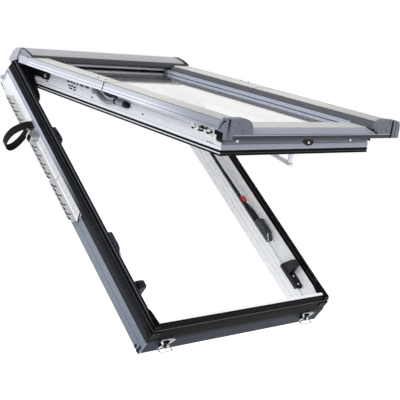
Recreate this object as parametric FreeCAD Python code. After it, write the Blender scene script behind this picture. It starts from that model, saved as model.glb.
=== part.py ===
import FreeCAD, Part
import math
import os

# Roof window, top hung, standing open on a pitched roof.
# Everything is drawn flat on the roof first: X runs across, Y up the slope and Z out of the roof,
# with Y = 0 at the lower edge of the frame and Z = 0 at the upper edge of its metal side face.
# An inset is a distance from the outer side face towards the middle of the window.
# The sash is drawn shut, turned open about its hinge line, and the whole is then pitched.

Vector = FreeCAD.Vector

# Whole window
frame_width = 740.0
frame_length = 1160.0
roof_pitch = 45.0
sash_opening = 32.1
fit_gap = 0.3

# Frame section
frame_depth = 57.0
cladding_thickness = 3.0
cladding_lean = 5.0
cladding_rise = 35.0
side_groove_depth = 1.5
side_groove_height = 4.0
side_groove_level = -28.0
kerb_height = 60.0
kerb_top_inset = 9.0
kerb_inner_inset = 20.0
kerb_bevel = 2.0
kerb_shoulder = 7.0
lining_top = 37.0
ledge_inset = 30.0
ledge_level = 4.0
reveal_top_inset = 60.0
reveal_low_inset = 66.0
top_lining_depth = 20.0
sill_step_inset = 6.0
sill_step_level = 40.0
sill_top_inset = 15.0
sill_upstand_inset = 31.0
sill_upstand_top = 59.0

# Fixing rails on the side faces, set back from the upper edge of the frame
rail_low_setback = 680.0
rail_joint_setback = 504.0
rail_joint_gap = 1.0
rail_anchor_setback = 328.0
rail_slots_setback = 106.0
rail_high_setback = 8.0
rail_origin_setback = 378.0
rail_taper_run = 14.0
rail_taper_width = 24.0
rail_tip_width = 18.0
rail_plug_length = 12.0
rail_plug_height = 14.0
rail_plug_round = 5.0
rail_thickness = 2.0
rail_flange_width = 33.0
rail_flange_level = -21.0
rail_leg_top = 8.0
rail_end_chamfer = 12.0
slot_pitch = 20.0
slot_length = 11.0
slot_width = 4.0
slot_edge_distance = 3.0
slot_slant = 22.0
slot_margin = 14.0
slot_branch_length = 13.0
slot_branch_width = 3.5

# Cover strips on the upper side faces, set back in the same way
strip_low_setback = 255.0
strip_high_setback = 5.0
strip_thickness = 6.0
strip_round = 10.0

# Carrying straps and their anchors
anchor_top = -6.0
anchor_height = 42.0
anchor_reach = 25.0
anchor_bevel = 10.0
strap_width = 30.0
strap_thickness = 3.0
strap_level = 0.0
strap_heading = -5.0
strap_outer_radius = 80.0
strap_outer_turn = 95.0
strap_tip_radius = 13.0
strap_tip_turn = 128.0
strap_return_radius = 112.0
strap_return_turn = 44.0

# Toggle clips on the lower face
clip_inset = 50.0
clip_width = 52.0
clip_thickness = 8.0
clip_top = 4.0
clip_leg_width = 9.0
clip_ear_length = 18.0
clip_body_margin = 6.0
clip_body_drop = 8.0
clip_foot_level = -35.0
clip_foot_height = 8.0
clip_foot_reach = 36.0

# Stay arms on the ledges
stay_low_end = 301.0
stay_box_length = 92.0
stay_box_width = 24.0
stay_box_height = 24.0
stay_arm_length = 455.0
stay_arm_width = 13.0
stay_arm_height = 10.0
stay_head_length = 58.0
stay_head_height = 22.0

# Lock strikes on the inner faces
strike_low_end = 84.0
strike_length = 116.0
strike_block_length = 46.0
strike_plate_thickness = 4.0
strike_block_width = 24.0
strike_rise = 50.0
strike_slope_run = 21.0
strike_slope_rise = 8.0
strike_plate_rise = 13.0

# Hinge line, just above the frame
hinge_beyond_frame = 22.0
hinge_level = 23.0

# Sash section, heights measured from the hinge line with the sash shut
sash_inset = 73.0
sash_bottom_inset = 76.0
sash_top_inset = 46.0
sash_bar_width = 58.0
sash_bar_bottom = -56.0
bar_top = 12.0
glass_top = 4.0
glass_thickness = 28.0
glass_rebate = 18.0
glass_clearance = 2.0
seal_bottom = -71.0
seal_proud = 2.0
seal_width = 16.0
sash_bar_bevel = 6.0

# Sash covers
cover_foot_inset = 16.0
cover_foot = 9.0
cover_edge_inset = 21.0
cover_edge = 34.0
cover_crest_inset = 50.0
cover_crest = 35.5
cover_edge_round = 2.0
cover_shoulder_inset = 92.0
cover_shoulder = 36.0
cover_shoulder_fall = 3.0
cover_inner_inset = 118.0
cover_inner_round = 5.0
cover_facets = 4
cover_high_end = 133.0
cover_tongue_end = 62.0
tongue_overlap = 50.0
cover_joint = 598.0
cover_joint_gap = 1.0
cover_low_end = 9.0
bottom_cover_drop = -12.0
bottom_cover_brow = 3.7
bottom_cover_ridge_inset = 39.0
bottom_cover_depth = 112.0
bottom_cover_sheet = 1.0
corner_cap_length = 24.0
corner_cap_foot = 5.0
corner_cap_side = (17.0, 26.0)
corner_cap_edge = (19.0, 42.0)
corner_cap_crest = (50.0, 43.0)
corner_cap_shoulder = (80.0, 44.5)
corner_cap_fall = (116.0, 42.0)
corner_skirt_depth = 14.0
corner_skirt_inset = 50.0
top_cover_rise = 12.0

# Hood over the hinge line
hood_inset = 21.0
hood_cheek_width = 14.0
hood_overhang = 41.0
hood_back_run = 43.0
hood_run = 113.0
hood_joint_gap = 1.0
hood_foot = 20.0
hood_back_face = 14.0
hood_crown = 104.0
hood_shoulder_in = 3.0
hood_shoulder_drop = 12.0
hood_brow_rise = 14.0
hood_nose_level = 122.0
hood_sheet = 6.0
hood_facets = 4

# Arms, knuckles and lock cases on the sash sides
arm_inset = 62.0
arm_start = 52.0
arm_length = 138.0
arm_top = -4.0
arm_height = 26.0
knuckle_start = 470.0
knuckle_length = 165.0
knuckle_width = 14.0
knuckle_height = 30.0
knuckle_radius = 14.0
lock_up_from_edge = 36.0
lock_length = 92.0
lock_width = 9.0
lock_height = 24.0

# Handle under the bottom rail
handle_up_from_edge = 30.0
handle_boss_radius = 13.0
handle_boss_height = 9.0
handle_neck_length = 34.0
handle_neck_width = 14.0
handle_neck_slant = 5.0
handle_bar_start = 9.0
handle_bar_lift = 18.0
handle_bar_width = 20.0
handle_bar_height = 9.0
handle_bar_length = 105.0

half_width = frame_width / 2.0
slope_turn = math.radians(sash_opening)
rail_low_end = frame_length - rail_low_setback
rail_joint = frame_length - rail_joint_setback
rail_anchor_end = frame_length - rail_anchor_setback
rail_slots_end = frame_length - rail_slots_setback
rail_high_end = frame_length - rail_high_setback
strip_low_end = frame_length - strip_low_setback
strip_high_end = frame_length - strip_high_setback
hinge_up_slope = frame_length + hinge_beyond_frame
hood_back = frame_length + hood_overhang
hood_joint = hood_back - hood_back_run
hood_nose = hood_back - hood_run


# Solids

def solid_between(ring_a, ring_b):
    """The closed solid between two like polygons, joined corner by corner."""
    faces = [Part.Face(Part.makePolygon(ring_a + ring_a[:1])),
             Part.Face(Part.makePolygon(ring_b + ring_b[:1]))]
    count = len(ring_a)
    for i in range(count):
        j = (i + 1) % count
        faces.append(Part.Face(Part.makePolygon([ring_a[i], ring_a[j], ring_b[j], ring_b[i], ring_a[i]])))
    solid = Part.Solid(Part.Shell(faces))
    if solid.Volume < 0:
        solid.reverse()
    return solid


def block(low, high):
    """A box between two corners."""
    size = [high[i] - low[i] for i in range(3)]
    return Part.makeBox(size[0], size[1], size[2], Vector(*low))


def mitred_bar(side, section, half, low, high):
    """One side of a rectangle, from its section of (inset, height) points, mitred at both ends."""
    def corner(left, bottom, inset, level):
        x = -half + inset if left else half - inset
        y = low + inset if bottom else high - inset
        return Vector(x, y, level)

    ends = {"left": ((True, True), (True, False)),
            "right": ((False, True), (False, False)),
            "bottom": ((True, True), (False, True)),
            "top": ((True, False), (False, False))}[side]
    rings = [[corner(left, bottom, inset, level) for inset, level in section] for left, bottom in ends]
    return solid_between(rings[0], rings[1])


def across(section, x_low, x_high):
    """A bar along X from its section of (Y, Z) points."""
    ring_a = [Vector(x_low, y, z) for y, z in section]
    ring_b = [Vector(x_high, y, z) for y, z in section]
    return solid_between(ring_a, ring_b)


def up_slope(section, y_low, y_high):
    """A bar along Y from its section of (X, Z) points."""
    ring_a = [Vector(x, y_low, z) for x, z in section]
    ring_b = [Vector(x, y_high, z) for x, z in section]
    return solid_between(ring_a, ring_b)


def bend(start, control, end, facets):
    """Points on a curve from start to end that is drawn towards the control point."""
    points = []
    for i in range(facets + 1):
        share = i / float(facets)
        weights = ((1 - share) ** 2, 2 * share * (1 - share), share ** 2)
        points.append(tuple(sum(w * p[axis] for w, p in zip(weights, (start, control, end)))
                            for axis in (0, 1)))
    return points


def mirrored(shape):
    """The same piece on the right-hand side."""
    return shape.mirror(Vector(0, 0, 0), Vector(1, 0, 0))


def pair(nodes, name, shape):
    """A piece on the left and its mirror image on the right."""
    nodes[name + "_left"] = shape
    nodes[name + "_right"] = mirrored(shape)


# Frame

def cladding_section(side):
    groove_low = side_groove_level - side_groove_height / 2.0
    groove_high = side_groove_level + side_groove_height / 2.0
    inner_low = (cladding_thickness, -frame_depth)
    inner_high = (cladding_thickness, 0)
    if side == "bottom":
        return [(0, -frame_depth), (0, 0), inner_high, inner_low]
    return [(0, -frame_depth), (0, groove_low), (side_groove_depth, groove_low),
            (side_groove_depth, groove_high), (0, groove_high), (0, 0), (cladding_lean, cladding_rise),
            (cladding_lean + cladding_thickness, cladding_rise), inner_high, inner_low]


def gasket_section(side):
    seat = (cladding_lean + cladding_thickness, cladding_rise)
    lip = [(kerb_inner_inset, kerb_height - kerb_bevel), (kerb_inner_inset, lining_top)]
    if side == "bottom":
        return [(0, 0), (sill_step_inset, sill_step_level), (sill_top_inset, kerb_height)] + lip + [
            seat, (cladding_thickness, 0)]
    return [(cladding_lean, cladding_rise), (cladding_lean, kerb_height - kerb_shoulder),
            (kerb_top_inset, kerb_height), (kerb_inner_inset - kerb_bevel, kerb_height)] + lip + [seat]


def lining_section(side):
    if side == "bottom":
        ledge = [(sill_upstand_inset, ledge_level), (sill_upstand_inset, sill_upstand_top),
                 (kerb_inner_inset, sill_upstand_top)]
    else:
        ledge = [(ledge_inset, ledge_level)]
    depth = top_lining_depth if side == "top" else frame_depth
    low_inset = reveal_top_inset + (reveal_low_inset - reveal_top_inset) * depth / frame_depth
    return [(cladding_thickness, -depth), (low_inset, -depth),
            (reveal_top_inset, 0)] + ledge + [
                (kerb_inner_inset, lining_top), (cladding_lean + cladding_thickness, cladding_rise),
                (cladding_thickness, 0)]


def frame_bars(nodes):
    for side in ("left", "right", "bottom", "top"):
        nodes["frame_lining_" + side] = mitred_bar(side, lining_section(side), half_width, 0, frame_length)
        nodes["frame_cladding_" + side] = mitred_bar(
            side, cladding_section(side), half_width, 0, frame_length)
        nodes["frame_gasket_" + side] = mitred_bar(side, gasket_section(side), half_width, 0, frame_length)


def slotted(rail, low, high):
    """The rail with slanted slots along the outer edge of its flange, every second one branched."""
    centre_x = -half_width - rail_flange_width + slot_edge_distance + slot_width / 2.0
    flange_low = rail_flange_level - rail_thickness
    for i in range(int((high - low - 2 * slot_margin) / slot_pitch) + 1):
        slot = Part.makeBox(slot_width, slot_length, 3 * rail_thickness,
                            Vector(-slot_width / 2.0, -slot_length / 2.0, flange_low - rail_thickness))
        slot.rotate(Vector(0, 0, 0), Vector(0, 0, 1), slot_slant)
        if i % 2:
            slot = slot.fuse(Part.makeBox(slot_branch_length, slot_branch_width, 3 * rail_thickness,
                                          Vector(0, -slot_length / 2.0, flange_low - rail_thickness)))
        slot.translate(Vector(centre_x, low + slot_margin + i * slot_pitch, 0))
        rail = rail.cut(slot)
    return rail.Solids[0]


def fixing_rail(low, high):
    """An angle: one leg flat on the side face, one slotted flange standing out from it."""
    flange_low = rail_flange_level - rail_thickness
    outer = -half_width - rail_flange_width
    flange = [(-half_width, low), (outer + rail_end_chamfer, low), (outer, low + rail_end_chamfer),
              (outer, high), (-half_width, high)]
    plate = solid_between([Vector(x, y, flange_low) for x, y in flange],
                          [Vector(x, y, rail_flange_level) for x, y in flange])
    leg = block((-half_width - rail_thickness, low, flange_low), (-half_width, high, rail_leg_top))
    return slotted(plate.fuse(leg).removeSplitter(), low, high)


def strip_flange():
    """The flange that runs on under the upper cover strip: slotted, then smooth, narrower and plugged."""
    flange_low = rail_flange_level - rail_thickness
    outline = [(0, strip_low_end), (rail_flange_width, strip_low_end), (rail_flange_width, rail_slots_end),
               (rail_taper_width, rail_slots_end + rail_taper_run), (rail_tip_width, rail_high_end),
               (0, rail_high_end)]
    plate = solid_between([Vector(-half_width - reach, y, flange_low) for reach, y in outline],
                          [Vector(-half_width - reach, y, rail_flange_level) for reach, y in outline])
    plug = block((-half_width - rail_tip_width, rail_high_end - rail_plug_length, flange_low),
                 (-half_width - strip_thickness, rail_high_end, flange_low + rail_plug_height))
    rounded = [e for e in plug.Edges if e.BoundBox.ZMin > flange_low + rail_plug_round]
    plug = plug.makeFillet(rail_plug_round, rounded)
    return slotted(plate.fuse(plug).removeSplitter(), strip_low_end, rail_slots_end)


def side_strip():
    """The smooth cover strip above the strap, with a rounded upper end."""
    strip = block((-half_width - strip_thickness, strip_low_end, rail_flange_level),
                  (-half_width, strip_high_end, rail_leg_top))
    ends = [e for e in strip.Edges
            if abs(e.BoundBox.YMin - strip_high_end) < fit_gap and e.BoundBox.XLength > strip_thickness / 2.0]
    return strip.makeFillet(strip_round, ends)


def strap_anchor():
    """The buckle that holds both ends of the strap against the side face."""
    low = anchor_top - anchor_height
    outer = -half_width - anchor_reach
    section = [(-half_width, low), (outer + anchor_bevel, low), (outer, low + anchor_bevel),
               (outer, anchor_top), (-half_width, anchor_top)]
    return up_slope(section, rail_anchor_end + fit_gap, strip_low_end - fit_gap)


def carrying_strap():
    """Flat webbing in one loop: tangent arcs, each given by its radius and its turn."""
    at = Vector(half_width + strip_thickness + fit_gap, 0, strap_level)
    heading = strap_heading
    inner_edges = []
    outer_edges = []
    for radius, turn in ((strap_outer_radius, strap_outer_turn), (strap_tip_radius, strap_tip_turn),
                         (strap_return_radius, strap_return_turn)):
        centre = at + bearing(heading - 90) * radius
        for edges, offset in ((inner_edges, -strap_thickness / 2.0), (outer_edges, strap_thickness / 2.0)):
            ends = [centre + bearing(heading + 90 - share * turn) * (radius + offset)
                    for share in (0, 0.5, 1)]
            edges.append(Part.Arc(*ends).toShape())
        at = centre + bearing(heading + 90 - turn) * radius
        heading -= turn
    start = [edges[0].Vertexes[0].Point for edges in (inner_edges, outer_edges)]
    end = [edges[-1].Vertexes[-1].Point for edges in (inner_edges, outer_edges)]
    edges = inner_edges + outer_edges + [Part.makeLine(*start), Part.makeLine(*end)]
    face = Part.Face(Part.Wire(Part.__sortEdges__(edges)))
    loop = face.extrude(Vector(0, -strap_width, 0))
    loop.translate(Vector(0, strip_low_end, 0))
    return mirrored(loop)


def bearing(degrees):
    """A unit step in the X, Z plane."""
    angle = math.radians(degrees)
    return Vector(math.cos(angle), 0, math.sin(angle))


def toggle_clip():
    """A crossed spring clip: a body plate with two ears above and two feet that stand out in front."""
    left = -half_width + clip_inset
    right = left + clip_width
    body_high = clip_top - clip_body_drop
    body = block((left + clip_body_margin, -clip_thickness, clip_foot_level),
                 (right - clip_body_margin, 0, body_high))
    parts = [body]
    for x in (left, right - clip_leg_width):
        foot = block((x, -clip_foot_reach, clip_foot_level),
                     (x + clip_leg_width, 0, clip_foot_level + clip_foot_height))
        ear = block((x, -clip_thickness, clip_top - clip_ear_length), (x + clip_leg_width, 0, clip_top))
        parts += [foot, ear]
    return parts[0].fuse(parts[1:]).removeSplitter().Solids[0]


def stay():
    """The stay that lies along the ledge: a case, a long low arm above it and a head at its upper end."""
    inner = -half_width + reveal_top_inset
    outer = inner - stay_box_width
    floor = ledge_level
    box_high = stay_low_end + stay_box_length
    box = block((outer, stay_low_end, floor), (inner, box_high, floor + stay_box_height))
    arm_high = box_high + stay_arm_length
    arm = block((inner - stay_arm_width, box_high, floor), (inner, arm_high, floor + stay_arm_height))
    head = block((inner - stay_arm_width, arm_high - stay_head_length, floor),
                 (inner, arm_high, floor + stay_head_height))
    return box.fuse([arm, head]).removeSplitter().Solids[0]


def lock_strike():
    """A low plate on the reveal and, at its upper end, a block with a sloping back."""
    face = -half_width + reveal_top_inset
    high = strike_low_end + strike_length
    floor = ledge_level
    plate = block((face - strike_plate_thickness, strike_low_end, floor),
                  (face, high, floor + strike_plate_rise))
    head_low = high - strike_block_length
    top = floor + strike_rise
    profile = [(head_low, floor), (head_low, top), (high - strike_slope_run, top),
               (high, floor + strike_slope_rise), (high, floor)]
    head = solid_between([Vector(face - strike_block_width, y, z) for y, z in profile],
                         [Vector(face, y, z) for y, z in profile])
    return plate.fuse(head).removeSplitter().Solids[0]


# Sash, drawn shut

def level(height):
    """A height above the hinge line, as a height above the frame's edge."""
    return hinge_level + height


def from_hinge(distance):
    """A distance down from the hinge line, as a place up the slope."""
    return hinge_up_slope - distance


def sash_bars(nodes):
    half = half_width - sash_inset
    low = sash_bottom_inset
    high = frame_length - sash_top_inset
    foot = level(sash_bar_bottom)
    top = level(bar_top)
    seat = level(glass_top - glass_thickness)
    bar = [(0, foot), (0, top), (glass_rebate, top), (glass_rebate, seat),
           (sash_bar_width - sash_bar_bevel, seat), (sash_bar_width, seat - sash_bar_bevel),
           (sash_bar_width, foot)]
    seal = [(-seal_proud, level(seal_bottom)), (-seal_proud, foot), (seal_width, foot),
            (seal_width, level(seal_bottom))]
    for side in ("left", "right", "bottom", "top"):
        nodes["sash_bar_" + side] = mitred_bar(side, bar, half, low, high)
        nodes["sash_seal_" + side] = mitred_bar(side, seal, half, low, high)
    edge = glass_rebate + glass_clearance
    nodes["glass_pane"] = block((-half + edge, low + edge, seat),
                                (half - edge, high - edge, level(glass_top)))


def side_cover(low, high):
    """A side cover: arched above, stepped below over the sash bar and the glass."""
    foot = (cover_foot_inset, cover_foot)
    edge = (cover_edge_inset, cover_edge)
    edge_corner = (edge[0] + cover_edge_round, cover_crest)
    crest = (cover_crest_inset, cover_crest)
    shoulder = (cover_shoulder_inset, cover_shoulder)
    inner = (cover_inner_inset, glass_top)
    inner_corner = (inner[0] - cover_inner_round, shoulder[1] - cover_shoulder_fall)
    step = sash_inset + glass_rebate + fit_gap
    outline = ([foot] + bend(edge, edge_corner, crest, cover_facets)
               + bend(shoulder, inner_corner, inner, cover_facets)
               + [(step, glass_top), (step, bar_top), (sash_inset, bar_top), (sash_inset, cover_foot)])
    cover = up_slope([(-half_width + inset, level(height)) for inset, height in outline], low, high)
    bottom_bar = block((-half_width + sash_inset, sash_bottom_inset - fit_gap, level(glass_top)),
                       (-half_width + cover_inner_inset, bottom_bar_rebate(), level(bar_top)))
    return cover.cut(bottom_bar)


def bottom_bar_rebate():
    """Where the bottom bar ends and the glass begins, going up the slope."""
    return sash_bottom_inset + glass_rebate + fit_gap


def corner_cap():
    """The end of a side cover: fuller than it, with a skirt in front of the bottom bar's cover."""
    foot = (cover_foot_inset, corner_cap_foot)
    inner = (cover_inner_inset, bar_top)
    outline = ([foot] + bend(corner_cap_side, corner_cap_edge, corner_cap_crest, cover_facets)
               + bend(corner_cap_shoulder, corner_cap_fall, inner, cover_facets)
               + [(sash_inset, bar_top), (sash_inset, corner_cap_foot)])
    skirt = [(cover_foot_inset, bottom_cover_drop), foot, (sash_inset, bar_top), inner,
             (cover_inner_inset, 0), (corner_skirt_inset, 0), (corner_skirt_inset, bottom_cover_drop)]
    cap, apron = [up_slope([(-half_width + inset, level(height)) for inset, height in section],
                           cover_low_end, cover_low_end + length)
                  for section, length in ((outline, corner_cap_length), (skirt, corner_skirt_depth))]
    return cap.fuse(apron).removeSplitter()


def sash_covers(nodes):
    cap_top = cover_low_end + corner_cap_length
    joint = from_hinge(cover_joint)
    pair(nodes, "sash_cover_lower", side_cover(cap_top, joint - cover_joint_gap / 2.0).Solids[0])
    high = from_hinge(cover_high_end)
    tongue = block((-half_width + cover_foot_inset, high - tongue_overlap, level(cover_foot)),
                   (-half_width + hood_inset - fit_gap, from_hinge(cover_tongue_end), level(cover_edge)))
    upper = side_cover(joint + cover_joint_gap / 2.0, high).fuse(tongue).removeSplitter()
    pair(nodes, "sash_cover_upper", upper.Solids[0])
    pair(nodes, "corner_cap", corner_cap().Solids[0])
    reach = half_width - cover_inner_inset - fit_gap
    front = cover_low_end
    back = front + bottom_cover_depth
    rebate = bottom_bar_rebate()
    base = level(bar_top)
    top = base + bottom_cover_sheet
    drop = level(bottom_cover_drop)
    section = [(sash_bottom_inset, drop), (front, drop), (front, level(bottom_cover_brow)),
               (front + bottom_cover_ridge_inset, top), (back, top), (back, level(glass_top)),
               (rebate, level(glass_top)), (rebate, base), (sash_bottom_inset, base)]
    drip_reach = half_width - corner_skirt_inset - fit_gap
    drip = block((-drip_reach, front, drop), (drip_reach, sash_bottom_inset, level(-fit_gap)))
    nodes["sash_cover_bottom"] = across(section, -reach, reach).fuse(drip).removeSplitter().Solids[0]


def top_cover(nodes):
    """The low cover over the top bar, in front of the hood."""
    reach = half_width - cover_inner_inset - fit_gap
    high = frame_length - sash_top_inset
    low = high - sash_bar_width
    rebate = high - glass_rebate - fit_gap
    foot = level(glass_top)
    base = level(bar_top)
    section = [(low, foot), (low + top_cover_rise, base + top_cover_rise), (high, base + top_cover_rise),
               (high, base), (rebate, base), (rebate, foot)]
    nodes["sash_cover_top"] = across(section, -reach, reach)


def hood_outline():
    """The hood's outer face from its foot at the back, over the crown, to the nose: (Y, Z) points."""
    shoulder = (hood_back - hood_shoulder_in, hood_crown - hood_shoulder_drop)
    brow = ((hood_joint + hood_nose) / 2.0, hood_crown + hood_brow_rise)
    crown = (hood_joint, hood_crown)
    back = bend((hood_back, hood_foot + hood_back_face), shoulder, crown, hood_facets)
    front = bend(crown, brow, (hood_nose, hood_nose_level), hood_facets)
    return [(hood_back, hood_foot)] + back + front[1:]


def hood(nodes):
    """The hood's bent sheet and, at each end, a back cheek on the frame and a front one on the sash."""
    outer = hood_outline()
    inner = [(hood_nose, hood_nose_level - hood_sheet)]
    for (y0, z0), (y1, z1), (y2, z2) in zip(outer[-3::-1], outer[-2:0:-1], outer[:1:-1]):
        run = Vector(0, y0 - y2, z0 - z2).normalize()
        inner.append((y1 + run.z * hood_sheet, z1 - run.y * hood_sheet))
    inner.append((hood_back - hood_sheet, hood_foot))
    end_x = half_width - hood_inset
    nodes["hood"] = across(outer + inner, -end_x + hood_cheek_width, end_x - hood_cheek_width)
    seat = kerb_height + fit_gap
    rim = frame_length - cladding_lean + fit_gap
    behind = frame_length - cladding_lean * hood_foot / cladding_rise + fit_gap
    back_joint = hood_joint + hood_joint_gap
    back = [p for p in outer if p[0] > hood_joint] + [
        (back_joint, hood_crown), (back_joint, seat), (rim, kerb_height - kerb_shoulder),
        (rim, cladding_rise), (behind, hood_foot)]
    pair(nodes, "hood_end", across(back, -end_x, -end_x + hood_cheek_width))
    front = [p for p in outer if p[0] <= hood_joint] + [
        on_sash(cover_high_end, cover_edge), on_sash(cover_high_end, cover_foot), (hood_joint, seat)]
    pair(nodes, "hood_cheek", across(front, -end_x, -end_x + hood_cheek_width))


def on_sash(distance, height):
    """The roof point of a place on the open sash."""
    y = hinge_up_slope - distance * math.cos(slope_turn) + height * math.sin(slope_turn)
    z = hinge_level + distance * math.sin(slope_turn) + height * math.cos(slope_turn)
    return (y, z)


def side_fittings(nodes):
    """Arms, knuckles and lock cases on the two long faces of the sash."""
    face = -half_width + sash_inset
    arm = block((-half_width + arm_inset, from_hinge(arm_start + arm_length), level(arm_top - arm_height)),
                (face, from_hinge(arm_start), level(arm_top)))
    pair(nodes, "hinge_arm", arm)
    knuckle_top = level(arm_top)
    knuckle_low = level(arm_top - knuckle_height)
    knuckle = block((face - knuckle_width, from_hinge(knuckle_start + knuckle_length), knuckle_low),
                    (face, from_hinge(knuckle_start), knuckle_top))
    upright = [e for e in knuckle.Edges if e.BoundBox.XLength > knuckle_width / 2.0]
    pair(nodes, "pivot_knuckle", knuckle.makeFillet(knuckle_radius, upright))
    lock_low = sash_bottom_inset + lock_up_from_edge
    lock = block((face - lock_width, lock_low, level(arm_top - lock_height)),
                 (face, lock_low + lock_length, level(arm_top)))
    pair(nodes, "lock_case", lock)


def handle(nodes):
    """A lever handle under the bottom bar, turned to point up the slope and tilted towards the sash."""
    y = sash_bottom_inset + handle_up_from_edge
    base = level(seal_bottom)
    seat = level(sash_bar_bottom)
    boss = Part.makeCylinder(handle_boss_radius, seat - base + handle_boss_height,
                             Vector(0, y, seat), Vector(0, 0, -1))
    neck_end = base - handle_neck_length
    half_neck = handle_neck_width / 2.0
    half_bar = handle_bar_width / 2.0
    bar_low = y - handle_bar_start
    bar_high = bar_low + handle_bar_length
    neck_top = y - handle_neck_slant
    neck_side = [(neck_top - half_neck, base), (neck_top + half_neck, base), (y + half_neck, neck_end),
                 (y - half_neck, neck_end)]
    neck = across(neck_side, -half_neck, half_neck)
    bar_side = [(bar_low, neck_end), (bar_high, neck_end + handle_bar_lift),
                (bar_high, neck_end + handle_bar_lift - handle_bar_height),
                (bar_low, neck_end - handle_bar_height)]
    bar = across(bar_side, -half_bar, half_bar)
    nodes["handle"] = boss.fuse([neck, bar]).removeSplitter().Solids[0]


def opened(shape):
    """The shut sash's piece, turned open about the hinge line."""
    turned = shape.copy()
    turned.rotate(Vector(0, hinge_up_slope, hinge_level), Vector(1, 0, 0), -sash_opening)
    return turned


def on_roof(shape):
    """A piece moved to the origin on the left rail's flange, then pitched."""
    placed = shape.copy()
    placed.translate(Vector(half_width + rail_flange_width / 2.0,
                            rail_origin_setback - frame_length,
                            rail_thickness - rail_flange_level))
    placed.rotate(Vector(0, 0, 0), Vector(1, 0, 0), roof_pitch)
    return placed


def fixed_nodes():
    nodes = {}
    frame_bars(nodes)
    pair(nodes, "fixing_rail_lower", fixing_rail(rail_low_end, rail_joint - rail_joint_gap))
    pair(nodes, "fixing_rail_middle", fixing_rail(rail_joint, rail_anchor_end))
    pair(nodes, "fixing_rail_upper", strip_flange())
    pair(nodes, "side_strip", side_strip())
    pair(nodes, "strap_anchor", strap_anchor())
    pair(nodes, "carrying_strap", carrying_strap())
    pair(nodes, "toggle_clip", toggle_clip())
    pair(nodes, "stay", stay())
    pair(nodes, "lock_strike", lock_strike())
    hood(nodes)
    return nodes


def sash_nodes():
    nodes = {}
    sash_bars(nodes)
    sash_covers(nodes)
    top_cover(nodes)
    side_fittings(nodes)
    handle(nodes)
    return {name: opened(shape) for name, shape in nodes.items()}


os.makedirs("parts", exist_ok=True)
pieces = fixed_nodes()
pieces.update(sash_nodes())
for node_name, piece in pieces.items():
    on_roof(piece).exportStep("parts/" + node_name + ".step")
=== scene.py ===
import math

import bmesh
import bpy
from mathutils import Matrix, Vector


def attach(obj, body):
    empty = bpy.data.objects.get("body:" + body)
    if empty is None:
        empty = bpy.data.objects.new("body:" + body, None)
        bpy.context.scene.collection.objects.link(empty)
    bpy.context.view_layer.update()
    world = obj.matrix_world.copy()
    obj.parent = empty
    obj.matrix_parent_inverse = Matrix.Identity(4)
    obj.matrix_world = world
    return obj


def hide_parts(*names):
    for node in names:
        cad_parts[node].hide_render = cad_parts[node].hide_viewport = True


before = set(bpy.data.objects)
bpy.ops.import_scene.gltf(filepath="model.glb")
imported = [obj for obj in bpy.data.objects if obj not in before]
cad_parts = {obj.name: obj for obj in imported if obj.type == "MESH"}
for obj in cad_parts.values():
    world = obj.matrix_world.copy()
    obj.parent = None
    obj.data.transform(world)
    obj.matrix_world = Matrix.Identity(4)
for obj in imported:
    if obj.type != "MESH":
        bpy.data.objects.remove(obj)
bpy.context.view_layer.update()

# Coordinates: lengths are in millimetres, on the roof or on the shut sash, as in the CAD source

MM = 0.001
HALF = 370.0
LENGTH = 1160.0
ORIGIN = (386.5, 782.0, 23.0)
PITCH = math.radians(45.0)
OPENING = math.radians(32.1)
HINGE = (1182.0, 23.0)
SIDES = ("left", "right", "bottom", "top")


def roof(x, s, n):
    """A point on the roof: across from the middle, up the slope, out of the roof."""
    y = s - ORIGIN[1]
    z = n + ORIGIN[2]
    return Vector(((x + ORIGIN[0]) * MM,
                   (y * math.cos(PITCH) - z * math.sin(PITCH)) * MM,
                   (y * math.sin(PITCH) + z * math.cos(PITCH)) * MM))


def shut(x, y, m):
    """A point of the sash as it lies when shut, with its height over the hinge line."""
    u = HINGE[0] - y
    return roof(x, HINGE[0] - u * math.cos(OPENING) + m * math.sin(OPENING),
                HINGE[1] + u * math.sin(OPENING) + m * math.cos(OPENING))


def flank(x, u, m):
    """A point of the sash from its distance to the hinge line and its height over it."""
    return shut(x, HINGE[0] - u, m)


def left(place):
    """The same places measured inwards from the left side face."""
    return lambda i, y, z: place(i - HALF, y, z)


def right(place):
    return lambda i, y, z: place(HALF - i, y, z)


# Solids: each is a list of points and a list of faces

def loft(rings):
    """A solid through rings of points, closed at both ends."""
    points = [p for ring in rings for p in ring]
    size = len(rings[0])
    faces = []
    for a in range(0, len(points) - size, size):
        for j in range(size):
            k = (j + 1) % size
            faces.append((a + j, a + k, a + size + k, a + size + j))
    faces.append(tuple(range(size)))
    faces.append(tuple(range(len(points) - size, len(points))))
    return points, faces


def across(place, section, low, high):
    return loft([[place(x, y, z) for y, z in section] for x in (low, high)])


def wide(place, section, reach):
    return across(place, section, -reach, reach)


def along(place, section, low, high):
    return loft([[place(x, y, z) for x, z in section] for y in (low, high)])


def upright(place, outline, low, high):
    return loft([[place(x, y, z) for x, y in outline] for z in (low, high)])


def block(place, low, high):
    return along(place, [(low[0], low[2]), (high[0], low[2]), (high[0], high[2]), (low[0], high[2])],
                 low[1], high[1])


def mitred(place, side, section, half, low, high):
    ends = {"left": ((1, 1), (1, 0)), "right": ((0, 1), (0, 0)),
            "bottom": ((1, 1), (0, 1)), "top": ((1, 0), (0, 0))}[side]
    rings = []
    for left, bottom in ends:
        rings.append([place(-half + i if left else half - i, low + i if bottom else high - i, z)
                      for i, z in section])
    return loft(rings)


def frame_side(side, section):
    return mitred(roof, side, section, HALF, 0, LENGTH)


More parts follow.
